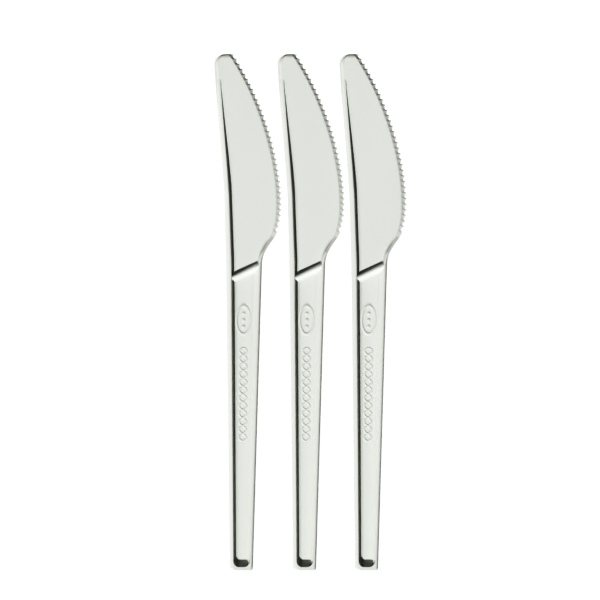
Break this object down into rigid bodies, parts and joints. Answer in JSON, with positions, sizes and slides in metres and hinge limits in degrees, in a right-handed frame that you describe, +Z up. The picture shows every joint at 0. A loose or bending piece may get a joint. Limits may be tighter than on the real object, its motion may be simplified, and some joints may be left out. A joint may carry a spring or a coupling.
{
  "type": "plastic cutlery pack",
  "caption": "Set of light disposable table knives lying side by side, with rimmed handles, ribbed blades and toothed edges, for cutting food at take-away meals.",
  "frame": {"origin": "centre of the set's footprint, on the surface that the knives lie on", "axes": "+Y along the knives from handle ends to tips, +X across the set towards the cutting edges, +Z up from the surface"},
  "size_m": [0.0614, 0.165, 0.004],
  "materials": {
    "moulded_plastic": "glossy white moulded plastic with a faint grey-green warmth, smooth from the mould"
  },
  "bodies": {
    "root": {"knife_left": "moulded_plastic", "knife_middle": "moulded_plastic", "knife_right": "moulded_plastic"}
  },
  "joints": []
}
